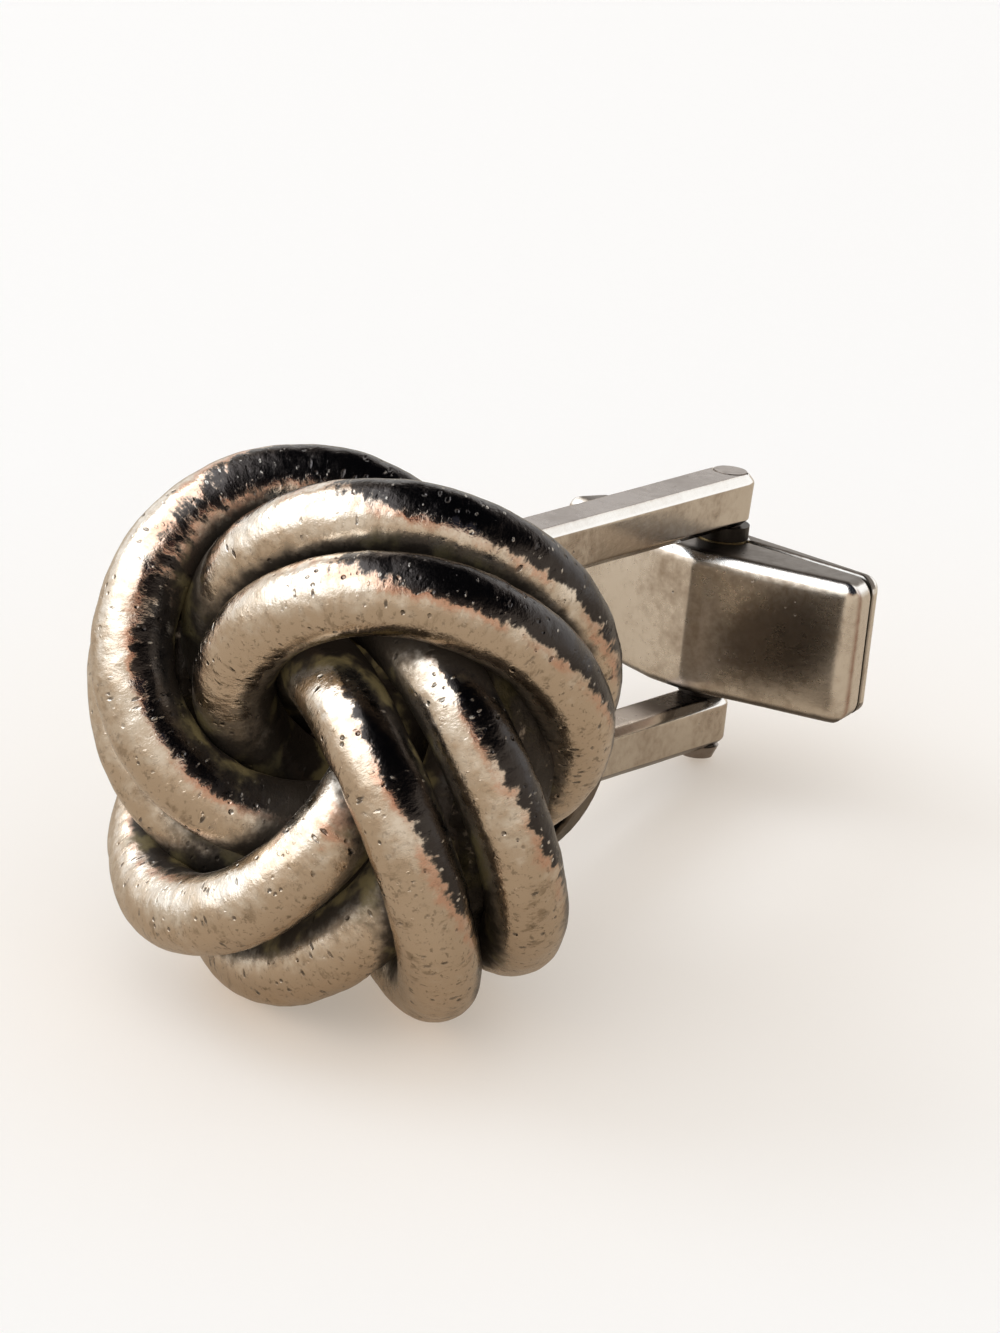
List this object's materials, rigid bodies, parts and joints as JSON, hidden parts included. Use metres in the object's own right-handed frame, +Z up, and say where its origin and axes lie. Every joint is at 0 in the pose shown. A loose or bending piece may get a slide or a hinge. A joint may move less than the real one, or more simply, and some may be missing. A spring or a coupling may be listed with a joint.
{
  "type": "knot cufflink",
  "caption": "Worn silver love-knot cufflink of paired wire strands, with a forked post and a swivel toggle that turns to lock it through a shirt cuff.",
  "frame": {"origin": "on the table, under the middle of the lying cufflink's bounding box", "axes": "+Z up from the table, +Y level along the post from the knot's face towards the toggle, +X to the right seen from the knot's face; the post dips 11.1 degrees below level towards the toggle"},
  "size_m": [0.015, 0.0252, 0.0149],
  "materials": {
    "knot_wire": "worn silver plate, tarnished",
    "plate": "dull, tarnished",
    "fork": "polished silver plate, lightly worn",
    "pin": "turned, polished",
    "toggle_shell": "pressed sheet, polished silver plate",
    "bush": "turned",
    "spring": "rolled strip"
  },
  "bodies": {
    "head": {"knot_ring_top_inner": "knot_wire", "knot_ring_top_outer": "knot_wire", "knot_ring_right_inner": "knot_wire", "knot_ring_right_outer": "knot_wire", "knot_ring_bottom_inner": "knot_wire", "knot_ring_bottom_outer": "knot_wire", "knot_ring_left_inner": "knot_wire", "knot_ring_left_outer": "knot_wire", "back_plate": "plate", "fork_base": "fork", "upper_arm": "fork", "lower_arm": "fork", "pivot_pin": "pin", "upper_washer": "pin", "lower_washer": "pin"},
    "toggle": {"toggle_front_shell": "toggle_shell", "toggle_back_shell": "toggle_shell", "upper_bush": "bush", "lower_bush": "bush", "detent_spring": "spring"}
  },
  "joints": [
    {"name": "toggle_swivel", "type": "hinge", "parent": "head", "child": "toggle", "pos_m": [0, 0.01066, 0.00442], "axis": [0, 0.1932, 0.9812], "continuous": true}
  ]
}
